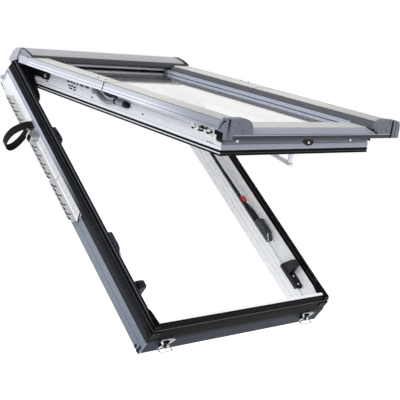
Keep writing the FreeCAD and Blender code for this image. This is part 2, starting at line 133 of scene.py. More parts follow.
def rod(points, radius, sides=12, squash=1.0, up=Vector((0, 0, 1))):
    """A round or oval bar through some points."""
    rings = []
    for i, p in enumerate(points):
        a = points[max(i - 1, 0)]
        b = points[min(i + 1, len(points) - 1)]
        run = (b - a).normalized()
        side = run.cross(up).normalized()
        rise = side.cross(run).normalized()
        r = radius[i] if isinstance(radius, (list, tuple)) else radius
        rings.append([p + side * (r * MM * math.cos(t)) + rise * (r * squash * MM * math.sin(t))
                      for t in (2 * math.pi * k / sides for k in range(sides))])
    return loft(rings)


def turned(place, at, out, rings_of, sides):
    """Rings of (height, radius for each step round) that stand on a place, in the direction out."""
    centre = place(*at)
    axis = (place(*(a + b for a, b in zip(at, out))) - centre).normalized()
    side = axis.orthogonal().normalized()
    rise = axis.cross(side)
    rings = []
    for height, radius in rings_of:
        rings.append([centre + axis * (height * MM)
                      + (side * math.cos(t) + rise * math.sin(t)) * (radius(k) * MM)
                      for k, t in ((k, 2 * math.pi * k / sides) for k in range(sides))])
    return loft(rings)


def lathe(place, at, out, profile, sides=24):
    """A turned piece from its (radius, height) profile."""
    return turned(place, at, out, [(h, lambda k, r=r: r) for r, h in profile], sides)


def screw(place, at, out, radius=4.0, height=1.8):
    """A low domed head with a cross recess."""
    dome = [(h * height, lambda k, r=r: r * radius)
            for r, h in ((1.0, -0.5), (1.0, 0.35), (0.86, 0.75), (0.62, 1.0))]
    cross = [(h * height, lambda k: radius * (0.55 if abs((k + 3) % 6 - 3) <= 1 else 0.2))
             for h in (1.0, 0.3)]
    return turned(place, at, out, dome + cross, 24)


def bend(start, control, end, facets):
    """Points on a curve from start to end, drawn towards the control point."""
    made = []
    for i in range(facets + 1):
        t = i / facets
        w = ((1 - t) ** 2, 2 * t * (1 - t), t * t)
        made.append(tuple(w[0] * a + w[1] * b + w[2] * c for a, b, c in zip(start, control, end)))
    return made


def smooth_line(points, steps):
    """A smooth line through some points, with steps between each two."""
    ext = [points[0]] + list(points) + [points[-1]]
    made = []
    for i in range(1, len(ext) - 2):
        p0, p1, p2, p3 = (Vector(ext[i + k]) for k in (-1, 0, 1, 2))
        for j in range(steps):
            t = j / steps
            made.append(0.5 * ((2 * p1) + (p2 - p0) * t + (2 * p0 - 5 * p1 + 4 * p2 - p3) * t * t
                               + (3 * p1 - p0 - 3 * p2 + p3) * t ** 3))
    made.append(Vector(points[-1]))
    return made


def new_object(name, data):
    made = bpy.data.objects.new(name, data)
    bpy.context.scene.collection.objects.link(made)
    return made


def piece(name, solids, material, slot, replaces=(), bevel=0.0, segments=2, sharp=32):
    """One piece of the window: its mesh, its edges, its finish and what it stands for."""
    if isinstance(solids, tuple):
        solids = [solids]
    mesh = bmesh.new()
    for points, faces in solids:
        made = [mesh.verts.new(p) for p in points]
        for face in faces:
            mesh.faces.new([made[i] for i in face])
    bmesh.ops.recalc_face_normals(mesh, faces=mesh.faces)
    data = bpy.data.meshes.new(name)
    mesh.to_mesh(data)
    mesh.free()
    data.shade_smooth()
    data.set_sharp_from_angle(angle=math.radians(sharp))
    data.materials.append(material)
    made = new_object(name, data)
    if bevel:
        rounding = made.modifiers.new("edges", "BEVEL")
        rounding.width = bevel * MM
        rounding.segments = segments
        rounding.limit_method = "ANGLE"
        rounding.angle_limit = math.radians(sharp)
        rounding.harden_normals = True
    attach(made, "root")
    if replaces:
        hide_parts(*replaces)
    return made


def both(name, build, place, material, slot, replaces=(), **looks):
    """A piece on the left and the same on the right."""
    for side, where in (("left", left(place)), ("right", right(place))):
        piece(name + "_" + side, build(where), material, slot,
              [r + "_" + side for r in replaces], **looks)


# Finishes

def srgb(text):
    made = []
    for i in (1, 3, 5):
        v = int(text[i:i + 2], 16) / 255.0
        made.append(v / 12.92 if v <= 0.04045 else ((v + 0.055) / 1.055) ** 2.4)
    return made + [1.0]


def material(name):
    made = bpy.data.materials.new(name)
    made.use_nodes = True
    return made, made.node_tree.nodes, made.node_tree.links


def set_inputs(node, values):
    """The same node, with some of its inputs set."""
    for name, value in values.items():
        node.inputs[name].default_value = value
    return node


def add(nodes, kind, values):
    return set_inputs(nodes.new(kind), values)


GLOSS_SPREAD = 0.12
DOT_SIZE = 0.35


def finish(name, colour, rough, vary, scale, bump=0.05, metal=0.0, grain=900.0,
           stretch=(1, 1, 1), specular=0.5, spots=0.0, painted_light_fade=None):
    """A finish with a soft change of tone, uneven gloss and a fine grain.

    A fade is an axis, the two places in metres between which the tone changes, and the tone at the second; it
    paints a gradient of light and shade into the colour.
    """
    made, nodes, links = material(name)
    shader = set_inputs(nodes["Principled BSDF"], {"Metallic": metal, "Specular IOR Level": specular})
    where = nodes.new("ShaderNodeTexCoord")
    turn = add(nodes, "ShaderNodeMapping", {"Rotation": (PITCH, 0, 0), "Scale": stretch})
    links.new(where.outputs["Object"], turn.inputs["Vector"])

    def noise(size, detail=4.0):
        node = add(nodes, "ShaderNodeTexNoise", {"Scale": size, "Detail": detail})
        links.new(turn.outputs["Vector"], node.inputs["Vector"])
        return node.outputs["Fac"]

    tone = nodes.new("ShaderNodeValToRGB")
    for element, at, share in zip(tone.color_ramp.elements, (0.3, 0.7), (1 - vary, 1 + vary)):
        element.position = at
        element.color = [min(c * share, 1) for c in srgb(colour)[:3]] + [1]
    links.new(noise(scale), tone.inputs["Fac"])
    colour_out = tone.outputs["Color"]
    # Painted light and shade: the tone blends towards a second tone along an axis.
    if painted_light_fade:
        axis, start, end, second = painted_light_fade
        split = nodes.new("ShaderNodeSeparateXYZ")
        links.new(where.outputs["Object"], split.inputs[0])
        share = add(nodes, "ShaderNodeMapRange", {"From Min": start, "From Max": end})
        share.interpolation_type = "SMOOTHSTEP"
        links.new(split.outputs[axis], share.inputs["Value"])
        blend = nodes.new("ShaderNodeMix")
        blend.data_type = "RGBA"
        blend.inputs["B"].default_value = srgb(second)
        links.new(share.outputs["Result"], blend.inputs["Factor"])
        links.new(colour_out, blend.inputs["A"])
        colour_out = blend.outputs["Result"]
    if spots:
        dots = add(nodes, "ShaderNodeTexVoronoi", {"Scale": grain * DOT_SIZE})
        links.new(turn.outputs["Vector"], dots.inputs["Vector"])
        near = add(nodes, "ShaderNodeMapRange",
                   {"From Min": 0.1, "From Max": 0.5, "To Min": 1 - spots, "To Max": 1.0})
        links.new(dots.outputs["Distance"], near.inputs["Value"])
        mix = nodes.new("ShaderNodeMix")
        mix.data_type = "RGBA"
        mix.blend_type = "MULTIPLY"
        mix.inputs["Factor"].default_value = 1.0
        links.new(colour_out, mix.inputs["A"])
        links.new(near.outputs["Result"], mix.inputs["B"])
        colour_out = mix.outputs["Result"]
    links.new(colour_out, shader.inputs["Base Color"])
    gloss = add(nodes, "ShaderNodeMapRange",
                {"To Min": max(rough - GLOSS_SPREAD, 0.02), "To Max": min(rough + GLOSS_SPREAD, 1.0)})
    links.new(noise(scale * 2.7), gloss.inputs["Value"])
    links.new(gloss.outputs["Result"], shader.inputs["Roughness"])
    if bump:
        height = add(nodes, "ShaderNodeBump", {"Strength": bump, "Distance": 0.0004})
        links.new(noise(grain, 3.0), height.inputs["Height"])
        links.new(height.outputs["Normal"], shader.inputs["Normal"])
    return made


def glazing(name, index, coat):
    """Clear glass with a trace of dust, coated on the weather side."""
    made, nodes, links = material(name)
    shader = set_inputs(nodes["Principled BSDF"], {
        "Base Color": (0.99, 0.995, 0.99, 1), "Transmission Weight": 1.0, "IOR": index,
        "Coat Weight": coat, "Coat IOR": 1.7, "Specular IOR Level": 0.5})
    where = nodes.new("ShaderNodeTexCoord")
    dust = add(nodes, "ShaderNodeTexNoise", {"Scale": 30.0})
    links.new(where.outputs["Object"], dust.inputs["Vector"])
    film = add(nodes, "ShaderNodeMapRange", {"From Min": 0.4, "From Max": 0.8, "To Min": 0.005, "To Max": 0.03})
    links.new(dust.outputs["Fac"], film.inputs["Value"])
    links.new(film.outputs["Result"], shader.inputs["Roughness"])
    return made


def webbing():
    """Black woven webbing: a fine diagonal weave that stands up in the light."""
    made = finish("webbing", "#0b0b0d", 0.7, 0.2, 140, 0, specular=0.15)
    nodes = made.node_tree.nodes
    links = made.node_tree.links
    where = nodes.new("ShaderNodeTexCoord")
    weave = add(nodes, "ShaderNodeTexWave", {"Scale": 420.0, "Distortion": 0.6})
    weave.wave_type = "BANDS"
    weave.bands_direction = "DIAGONAL"
    links.new(where.outputs["Object"], weave.inputs["Vector"])
    height = add(nodes, "ShaderNodeBump", {"Strength": 0.5, "Distance": 0.0006})
    links.new(weave.outputs["Color"], height.inputs["Height"])
    links.new(height.outputs["Normal"], nodes["Principled BSDF"].inputs["Normal"])
    return made


ALONG = (3, 0.4, 3)
ACROSS = (0.4, 3, 3)
PVC = finish("white_profile", "#f8f9fb", 0.4, 0.02, 8, 0.03, grain=700, specular=0.3)
# The side face darkens towards its lower end: painted shade.
SIDE = finish("side_metal", "#7a818f", 0.45, 0.05, 14, 0.06, metal=0.1, specular=0.3,
              painted_light_fade=("Z", -0.33, -0.6, "#687080"), stretch=ALONG)
# A darker copy of the cladding for the bottom's front face and the frame foot: painted shade.
CLADDING_SHADE = finish("cladding_painted_shade", "#1d2330", 0.5, 0.08, 14, specular=0.08, stretch=ACROSS)
# Near black low down, blue-grey higher up: painted light and painted reflection on the leaning face.
LEAN = finish("lean_metal", "#1c1e25", 0.4, 0.1, 20, 0.04, specular=0.1,
              painted_light_fade=("Z", -0.2, 0.06, "#b4bacb"), stretch=ALONG)
NIGHT = finish("night_metal", "#13151c", 0.45, 0.1, 20, 0.04, specular=0.06, stretch=ALONG)
RUBBER = finish("rubber", "#050607", 0.42, 0.25, 25, 0.08, grain=600, specular=0.04)
RUBBER_MID = finish("rubber_mid", "#26272c", 0.42, 0.15, 25, 0.06, grain=600, specular=0.2)
RAIL = finish("galvanised", "#c8c8c8", 0.55, 0.08, 120, 0.15, metal=0.2, grain=420, spots=0.2)
STRIP = finish("pale_silver", "#eceef3", 0.35, 0.03, 12, 0.03, metal=0.1, stretch=ALONG)
BUCKLE = finish("pressed_steel", "#c6c8ca", 0.3, 0.15, 70, 0.06, metal=0.8, grain=260)
WEB = webbing()
CHROME = finish("spring_steel", "#c9cacc", 0.22, 0.2, 90, 0.1, metal=0.9, grain=300)
STAY = finish("stay_black", "#17181b", 0.45, 0.15, 40, 0.1, specular=0.2)
STAY_BOX = finish("stay_slate", "#30333b", 0.5, 0.1, 40, 0.12, specular=0.25)
STRIKE = finish("strike_black", "#101114", 0.42, 0.15, 40, 0.12, grain=800, specular=0.2)
RED = finish("red_mark", "#c8383a", 0.4, 0.05, 60, specular=0.3)
HOOD = finish("hood_paint", "#a3a5a8", 0.42, 0.04, 10, 0.06, metal=0.1, stretch=ACROSS)
# A dark copy of the hood paint for its brow, the cheek's edge and the top cover under it: painted shade.
HOOD_SHADE = finish("hood_painted_shade", "#3d3d42", 0.5, 0.06, 14, 0.06, specular=0.25, stretch=ACROSS)
HOOD_END = finish("hood_end_plastic", "#b4b8c2", 0.5, 0.04, 30, 0.12, grain=1200, specular=0.3)
BAR = finish("sash_profile", "#eceff5", 0.38, 0.02, 8, 0.03, grain=700, specular=0.4)
# A darker copy of the sash profile for the bottom bar and the bead under the bottom cover: painted shade.
BAR_SHADE = finish("sash_profile_painted_shade", "#a7abb6", 0.42, 0.04, 14, 0.04, specular=0.3)
BAR_DEEP = finish("sash_profile_deep", "#5a5d66", 0.45, 0.05, 14, 0.04, specular=0.25)
# The cover darkens towards the sash's lower end: painted shade.
COVER = finish("cover_paint", "#c2c6d1", 0.34, 0.03, 12, metal=0.1,
               painted_light_fade=("Y", -0.5, -0.84, "#8d92a0"), stretch=ALONG)
# A dark copy of the cover paint for the inner slopes and creases: painted shade.
COVER_SHADE = finish("cover_inner_painted_shade", "#54565d", 0.42, 0.05, 12, specular=0.25, stretch=ALONG)
# A darker copy of the cover paint for the bottom cover's sloping face: painted shade.
COVER_LOW_SHADE = finish("cover_low_painted_shade", "#8a8d9a", 0.42, 0.04, 14, 0.06, metal=0.05, specular=0.35,
                   stretch=ACROSS)
DRIP = finish("drip_edge", "#35353b", 0.5, 0.06, 20, specular=0.2, stretch=ACROSS)
CAP = finish("cap_plastic", "#686c78", 0.55, 0.06, 40, 0.2, grain=1100, specular=0.3)
CAP_SIDE = finish("cap_side_plastic", "#6c717d", 0.5, 0.05, 40, 0.2, grain=1100, specular=0.3)
# Painted shade on the bottom bar's recess, and the colour of the left cap's seam.
SHADE_AND_SEAM = finish("bar_band", "#666a76", 0.5, 0.06, 20, specular=0.2, stretch=ACROSS)
# A darker copy of the hood end plastic for the cheek: painted shade.
CHEEK_SHADE = finish("cheek_painted_shade", "#9296a2", 0.5, 0.04, 30, 0.12, grain=1200, specular=0.3)
LEG = finish("rail_leg", "#dcdddf", 0.5, 0.07, 60, 0.1, metal=0.1, grain=420)
# A pale brownish line along the sill's step: painted highlight.
EDGE_HIGHLIGHT = finish("kerb_edge_highlight", "#5d5552", 0.4, 0.1, 40, specular=0.2)
# Grey strips on the gasket's ridges: painted highlights.
RIB_HIGHLIGHT = finish("rib_line", "#43464f", 0.45, 0.1, 40, specular=0.2)
# A pale strip along the covers' crest: painted highlight, darker towards the lower end as painted shade.
CREST_HIGHLIGHT = finish("cover_crest_painted_highlight", "#cbcac6", 0.4, 0.03, 12, specular=0.3,
               painted_light_fade=("Y", -0.5, -0.84, "#a6a6a5"), stretch=ALONG)
# A pale band along the foot of the covers' outer face: painted light, darker towards the lower end as painted
# shade.
FOOT_LIGHT = finish("cover_foot_painted_light", "#e2e6ee", 0.36, 0.03, 12, specular=0.3,
              painted_light_fade=("Y", -0.5, -0.84, "#8d92a0"), stretch=ALONG)
ARM = finish("arm_black", "#0f1013", 0.45, 0.2, 40, 0.1, grain=700, specular=0.15)
KNUCKLE = finish("knuckle_cast", "#8a8f9b", 0.42, 0.06, 50, 0.15, metal=0.25, grain=700)
LOCK = finish("lock_bright", "#f6f7f9", 0.3, 0.1, 80, 0.08, metal=0.15, grain=500)
HANDLE = finish("handle_metal", "#b9bdc4", 0.3, 0.05, 50, 0.04, metal=0.6)
TRIM = finish("trim_silver", "#dcdfe8", 0.32, 0.06, 40, metal=0.3)
# The glass trim's own pale bead colour, also used for painted highlights on the frame foot's edges.
BEAD_AND_HIGHLIGHT = finish("glass_bead", "#a9b1c3", 0.35, 0.08, 60, metal=0.2)
# A pale tone for the bottom cover's upward flat: painted light.
COVER_TOP_LIGHT = finish("cover_top_painted_light", "#bcbdba", 0.5, 0.03, 20, specular=0.3)
GLASS = glazing("glazing", 1.5, 1.0)
GLASS_IN = glazing("glazing_inner", 1.15, 0.0)


# Frame

def reveal(levels):
    """The inner face from the room side up, with a shallow groove at each level."""
    made = [(66, -57)]
    for n in levels:
        x = 66 - 6 * (n + 57) / 57.0
        made += [(x + 0.15, n - 1.2), (x - 1.1, n - 0.5), (x - 1.1, n + 0.5), (x - 0.15, n + 1.2)]
    return made + [(60, 0)]


lining = [(3, -57)] + reveal((-46, -31, -12)) + [(50, 1.4), (49, 0.4), (48, 1.6), (30, 4), (20, 37),
                                                 (8, 35), (3, 0)]
upstand = [p for p in lining if p[0] >= 60] + [(31, 4), (31, 48), (30, 49), (31, 50), (31, 58), (30, 59),
                                               (20.2, 59), (20, 37), (8, 35), (3, 0)]
cladding = [(0, -57), (0, -52), (0.8, -51.4), (0.8, -50.6), (0, -50), (0, -30), (1.5, -29.6), (1.5, -26.4),
            (0, -26), (0, -1.2), (3, -1.2), (3, -57)]
front = [(0, -57), (0, -9), (0.9, -8.4), (0.9, -7.4), (0, -6.8), (0, -0.6), (3, -0.6), (3, -57)]
leaning = [(0.5, -0.2), (0.2, 1.2), (1.2, 3.0), (1.0, 4.6), (2.9, 19), (7, 19), (3, -0.2)]
shoulder = [(2.9, 19), (2.7, 20.5), (5, 35), (8, 35), (7, 19)]
# Sections of the painted highlights along the gasket's ridges.
rib_lines = ([(4.5, 45.2), (4.5, 46.6), (6, 46.6), (6, 45.2)],
             [(8.2, 57.0), (9.8, 60.4), (10.8, 60.4), (9.6, 57.0)],
             [(15.3, 59.4), (15.7, 60.4), (16.8, 60.4), (16.8, 59.4)],
             [(20.4, 50), (20.4, 51.4), (19, 51.4), (19, 50)])
ribs = [(5, 35), (5, 41), (7, 42), (7, 43.5), (5, 44.5), (5, 51), (6, 53), (8.5, 53.8), (8.7, 58), (10, 60),
        (12, 60), (12.8, 56.5), (14.4, 56.5), (15.2, 60), (18, 60), (20, 58), (20, 37), (8, 35)]
sill = [(0, 0), (5.4, 37.5), (6.6, 40.2), (9.4, 41), (11, 49), (10.2, 50.5), (12.2, 52), (14, 58.6), (16, 60),
        (18.5, 60), (20, 58), (20, 37), (8, 35), (3, 0)]
shallow = [(3, -20), (62.1, -20), (61, -12.5), (59.9, -12), (61, -11.5)] + lining[-8:]
linings = {"left": lining, "right": lining, "bottom": upstand, "top": shallow}
for side in SIDES:
    piece("lining_" + side, frame_side(side, linings[side]), PVC, "lining_white", ["frame_lining_" + side],
          bevel=0.8)
    low = side == "bottom"
    # The bottom's front face takes the darker copy of the cladding: painted shade.
    piece("side_face_" + side, frame_side(side, front if low else cladding), CLADDING_SHADE if low else SIDE,
          "cladding_metal", ["frame_cladding_" + side], bevel=0.3)
    if not low:
        piece("leaning_face_" + side, frame_side(side, leaning), LEAN, "cladding_metal", bevel=0.3)
        piece("shoulder_face_" + side, frame_side(side, shoulder), NIGHT, "cladding_metal", bevel=0.3)
        piece("rib_lines_" + side, [frame_side(side, line) for line in rib_lines], RIB_HIGHLIGHT, "gasket_black")
    piece("kerb_gasket_" + side, frame_side(side, sill if low else ribs), RUBBER, "gasket_black",
          ["frame_gasket_" + side], bevel=0.5)

# The line of painted highlight along the edge of the bottom gasket's step.
line = [(6.0, 40.4), (7.4, 41.3), (9.2, 41.3), (9.2, 40)]
piece("kerb_edge_highlight", mitred(roof, "bottom", line, HALF - 3, 0, LENGTH), EDGE_HIGHLIGHT, "gasket_black", bevel=0.2)


def kerb_corner(place):
    outline = [(8, 8), (28, 8), (28, 27), (25, 52), (22, 70), (10, 74)]
    toe = [(1.5, 1.5), (40, 1.5), (34, 20), (20, 34), (4, 44)]
    return [upright(place, outline, 36, 62), upright(place, toe, 2, 40)]


# A dark grey strip along the ledge: painted shadow.
both("ledge_shadow_line", lambda p: block(p, (48.2, 62, 0.5), (49.8, LENGTH - 62, 1.7)), roof, BAR_DEEP,
     "lining_white")
both("kerb_corner", kerb_corner, roof, RUBBER, "gasket_black", bevel=2.5, segments=3)


def frame_foot(place):
    """The folded lower end of the side face, with two bright edges as painted highlights."""
    return [along(place, [(x, -56), (x, -3), (x + 1.1, -2), (x + 1.1, -56)], -1.2, 0.5) for x in (0.4, 5.0)]


def foot_shade(place):
    return [along(place, [(-1, -50), (-1, -30), (0.5, -30), (0.5, -50)], 3, 12),
            along(place, [(-1.6, -57), (-1.6, -51), (0.5, -51), (0.5, -57)], -1.2, 14),
            along(place, [(-2, -56), (-2, -44), (-0.5, -42), (-0.5, -56)], 20, 27)]


both("frame_foot", frame_foot, roof, BEAD_AND_HIGHLIGHT, "cladding_metal", bevel=0.4)
both("frame_foot_shade", foot_shade, roof, CLADDING_SHADE, "cladding_metal", bevel=0.4)

# Rails, strips and straps

for side in ("left", "right"):
    for part_name in ("lower", "middle", "upper"):
        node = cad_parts["fixing_rail_" + part_name + "_" + side]
        node.data.materials.clear()
        node.data.materials.append(RAIL)


SLOT_PITCH = 20
SLOT_MARGIN = 14


def rail_slots(place):
    """Black plates under the slots, seen through the flange, as painted shade; every second slot has a branch.
    """
    made = []
    for low, high in ((480, 655), (656, 832), (905, 1054)):
        for k, s in enumerate(range(low + SLOT_MARGIN, high - SLOT_MARGIN + 1, SLOT_PITCH)):
            slot = [(-32, s + 6.4), (-27.6, s + 6.4), (-23.2, s - 6), (-27.4, s - 6)]
            made.append(upright(place, slot, -21.6, -20.7))
            if k % 2:
                made.append(block(place, (-27, s - 6.6, -21.6), (-14, s - 2.4, -20.7)))
    return made


def rail_fold_highlight(place):
    """The rounded fold between the flange and the leg, pale silver as painted highlight."""
    fold = [(-5.4, -21), (-4.6, -19.6), (-3.0, -18.2), (-2, -18), (-2, -21)]
    return [along(place, fold, low, high) for low, high in ((481, 654.5), (657, 831))]


def rail_leg(place):
    """The smooth outer face of the rail's leg, cut off at a slant at its lower end."""
    return [across(place, [(low, -18), (high, -18), (high, 7.4), (low + slant, 7.4)], -2.7, -2)
            for low, slant, high in ((483, 8, 654.6), (657, 0, 831))]


both("rail_leg_face", rail_leg, roof, LEG, "rail_steel", bevel=0.2)
both("rail_leg_end", lambda p: across(p, [(477, -22), (483, -22), (491, 7.6), (486, 8)], -3.0, 0), roof, ARM,
     "rail_steel")
both("rail_slot_shade", rail_slots, roof, ARM, "rail_steel")
both("rail_fold_highlight", rail_fold_highlight, roof, STRIP, "rail_steel", bevel=0.3)


def strip(place):
    section = [(0, -21), (-5, -21), (-6, -19), (-6, -8), (-4.8, -7), (-4.8, -5), (-6, -4), (-6, 4), (-4, 8),
               (0, 8)]
    return along(place, section, 905, 1148)


both("silver_strip", strip, roof, STRIP, "strip_silver", ["side_strip"], bevel=0.5)
end = [(0, 1138), (-6.4, 1138), (-6.4, 1148), (-5, 1153), (0, 1155)]
flange = [(0, 1055), (-25.5, 1055), (-24.4, 1069), (-18.4, 1150), (0, 1150)]
plug = [(-4, 1139), (-18.6, 1139), (-19.4, 1146), (-17, 1152), (-4, 1152)]
both("strip_end", lambda p: upright(p, end, -21, 8.3), roof, HOOD_END, "strip_silver", bevel=1.5)
both("flange_cover", lambda p: upright(p, flange, -23.6, -19.6), roof, STRIP, "strip_silver", bevel=0.8)
both("flange_plug", lambda p: upright(p, plug, -24, -9.4), roof, HOOD_END, "strip_silver", bevel=3.0,
     segments=4)
both("rail_screws", lambda p: [screw(p, (-2, s, n), (-1, 0, 0), 3.6)
                              for s, n in ((767, -4), (654, -13), (520, -6))], roof, BUCKLE, "buckle_steel")


def buckle(place):
    """Two cheeks, a folded plate between them and the bars that the strap turns about."""
    plate = [(-2, -48), (-12, -48), (-21, -42), (-24, -30), (-24, -10), (-20, -6), (-2, -6)]
    made = [along(place, plate, low, high) for low, high in ((833, 836), (868, 871), (900, 904))]
    made.append(block(place, (-4, 833, -48), (0, 904, 8)))
    made.append(along(place, [(-22, -34), (-25, -30), (-25, -12), (-22, -9)], 836, 868))
    for n in (-40, -16):
        made.append(rod([place(-15, s, n) for s in (836, 852, 868, 900)], 3.0, 10))
    return made


both("strap_buckle", buckle, roof, BUCKLE, "buckle_steel", ["strap_anchor"], bevel=0.6)
# A black plate between the buckle's cheeks: painted shade.
both("strap_buckle_shade", lambda p: along(p, [(-26, -34), (-26, -12), (-20, -8), (-20, -38)], 843, 860),
     roof, RUBBER, "buckle_steel")

# The strap's route in the plane that faces out from the side face: distance outwards and height

strap_route = [(3, 1), (14, 1), (27, -2), (42, -9), (56, -19), (67, -31), (74.5, -46), (78, -62), (78, -79),
               (74, -93), (65, -103), (55, -107), (44.5, -104), (37, -96), (30, -85), (24, -72), (19.5, -58),
               (17, -44), (17, -32), (19, -22)]
STRAP_START = 875.3
STRAP_SPREAD = 0.985
strap_section = [(0, -0.7), (1.2, -1.4), (6, -1.15), (15, -1.3), (24, -1.15), (28.8, -1.4), (30, -0.7),
                 (30, 0.7), (28.8, 1.4), (24, 1.15), (15, 1.3), (6, 1.15), (1.2, 1.4), (0, 0.7)]


def strap(place):
    line = smooth_line(strap_route, 6)
    rings = []
    for i, p in enumerate(line):
        run = (line[min(i + 1, len(line) - 1)] - line[max(i - 1, 0)]).normalized()
        out = Vector((-run.y, run.x))
        rings.append([place(-(p + out * t).x, STRAP_START + s * STRAP_SPREAD, (p + out * t).y)
                      for s, t in strap_section])
    return loft(rings)


both("carrying_web", strap, roof, WEB, "webbing", ["carrying_strap"], sharp=60)


# Toggle clips

CLIP_AT = 76


def clip(place):
    """A crossed spring clip: two ears, crossed arms and a wire loop that stands out in front."""
    made = []
    for sign in (-1, 1):
        ear = [(sign * 4, -16), (sign * 25, 4), (sign * 26, -2), (sign * 17, -12), (sign * 8, -24)]
        made.append(along(place, ear, -8, -5))
        leg = [(sign * 6, -20), (sign * 13, -20), (sign * 24, -34), (sign * 15, -35)]
        made.append(along(place, leg, -9, -6))
        wire = [(19, -8, -33), (22, -16, -32), (23, -23, -30)]
        made.append(rod([place(sign * x, s, n) for x, s, n in wire], 2.0, 10))
    loop = [(-23, -23), (-18, -25.5), (18, -25.5), (23, -23)]
    made.append(rod([place(x, s, -30) for x, s in loop], 1.9, 10))
    made.append(along(place, [(-22, 2), (-22, -3), (22, -3), (22, 2)], -5, 0))
    made.append(rod([place(x, s, -28) for x, s in ((-10, -8), (0, -18), (10, -8))], 1.5, 10))
    return made


def at_clip(build):
    """The same build measured from the middle of a clip."""
    return lambda place: build(lambda x, y, z: place(CLIP_AT + x, y, z))


both("toggle_spring", at_clip(clip), roof, CHROME, "clip_steel", ["toggle_clip"], bevel=0.5)
hub = [(-10, -6), (10, -6), (7, -18), (12, -33), (-12, -33), (-7, -18)]
both("toggle_middle", at_clip(lambda p: along(p, hub, -9.6, 0)), roof, RUBBER, "clip_steel", bevel=0.8)

# Stays and strikes on the ledges

def stay_arm(place):
    section = [(51, 4), (60, 4), (60, 9), (58.5, 11), (52.5, 11), (51, 9)]
    head = [(786, 4), (864, 4), (864, 8), (854, 25), (806, 30), (790, 27)]
    plan = [(30, 394), (60, 394), (60, 470), (54, 482), (42, 482), (30, 440)]
    return [along(place, section, 470, 848), across(place, head, 47, 59.6), upright(place, plan, 3.8, 10)]


both("stay_arm", stay_arm, roof, STAY, "stay_plastic", ["stay"], bevel=1.2)
case = [(301, 4), (393, 4), (395, 18), (388, 28), (336, 28), (322, 24), (304, 12)]
pin = [(56, 301, 8), (56, 310, 15), (56, 322, 25)]
thin_rod = [(51, 630, 7), (51, 560, 8.5), (51, 490, 9), (51, 440, 8)]
both("stay_case", lambda p: across(p, case, 36, 60), roof, STAY_BOX, "stay_plastic", bevel=1.6, segments=3)
both("stay_pin", lambda p: rod([p(*at) for at in pin], 2.2, 10), roof, CHROME, "clip_steel", bevel=0.3)
both("stay_rod", lambda p: rod([p(*at) for at in thin_rod], 3.0, 10), roof, STAY, "stay_plastic")
piece("stay_mark_left", block(left(roof), (43, 480, 5), (58, 498, 10.2)), RED, "stay_plastic", bevel=1.0)
piece("stay_mark_right", block(right(roof), (43, 484, 5), (58, 508, 17)), RED, "stay_plastic", bevel=1.0)


def strike(place):
    plan = [(60.5, 156), (60.5, 106), (57, 96), (50, 91), (40, 91), (33, 98), (31, 124), (30, 156)]
    head = [(154, 4), (154, 50), (158, 54), (176, 54), (182, 50), (199, 14), (200, 4)]
    rib = [(160, 4), (160, 40), (176, 40), (188, 14), (188, 4)]
    edge = [(96, -7), (200, -7), (200, 8), (96, 8)]
    return [upright(place, plan, 3.5, 9.5), across(place, edge, 58, 60.6), across(place, head, 36, 58),
            across(place, rib, 34, 36)]


both("lock_strike_plate", strike, roof, STRIKE, "strike_plastic", ["lock_strike"], bevel=2.0, segments=3)
both("strike_screws", lambda p: [screw(p, (i, s, 9.4), (0, 0, 1), 4.2) for i, s in ((46, 142), (48, 108))],
     roof, CHROME, "clip_steel")

# Hood

hood_back = bend((1201, 34), (1198, 92), (1158, 104), 10)
hood_front = bend((1158, 104), (1123, 118), (1088, 122), 10)
outer = [(1201, 20)] + hood_back + hood_front[1:]


def offset(line, gap):
    made = []
    for i, (y, z) in enumerate(line):
        y0, z0 = line[max(i - 1, 0)]
        y1, z1 = line[min(i + 1, len(line) - 1)]
        size = math.hypot(y1 - y0, z1 - z0)
        made.append((y + (z1 - z0) / size * gap, z - (y1 - y0) / size * gap))
    return made


sheet_line = [(1201, 20)] + hood_back + bend((1158, 104), (1130, 117), (1107, 121), 8)[1:]
sheet = sheet_line + offset(sheet_line, -2.5)[::-1]
brow = [(1107, 121), (1101, 121.4), (1094, 119.6), (1088.5, 116.6), (1086.4, 113), (1087, 110), (1090, 110),
        (1091, 113), (1096, 116), (1107, 118)]
reach = HALF - 21 - 14
piece("hood_sheet", wide(roof, sheet, reach), HOOD, "hood_metal", ["hood"], bevel=0.2, sharp=50)
piece("hood_brow", wide(roof, brow, reach), HOOD_SHADE, "hood_metal", bevel=0.3, sharp=50)


def hood_end(place):
    back = [p for p in outer if p[0] > 1158.6]
    return across(place, back + [(1159, 104), (1159, 60.3), (1155.3, 53), (1155.3, 35), (1157.5, 20)], 21, 35)


def hood_cheek(place):
    front = [(1157.6, 104)] + [p for p in outer if p[0] <= 1157.6]
    return across(place, front + [(1106, 117), (1103, 96), (1112, 84), (1157.6, 61)], 21, 34)


cheek_brow = [(1157, 105.5), (1140, 111.5), (1117, 118), (1104, 122), (1092, 120), (1086, 112), (1088, 109),
              (1094, 114), (1106, 117.5), (1118, 114), (1140, 108), (1157, 102.5)]


def hood_joint(place):
    """The dark joint between the fixed end and the cheek, with two small clips across it."""
    made = [block(place, (20.7, 1146, n), (24, 1158, n + 1.8)) for n in (93, 89)]
    return [across(place, [(1157.2, 61), (1160.0, 61), (1160.2, 104.2), (1157.4, 105)], 20.7, 35.2)] + made


both("hood_joint_line", hood_joint, roof, RUBBER, "seal_black")


def rim(place, low_x, high_x):
    """A dark band round the end of the hood."""
    line = [p for p in sheet_line if p[0] < 1180] + brow[1:5]
    return across(place, offset(line, 1.0) + offset(line, -3.5)[::-1], low_x, high_x)


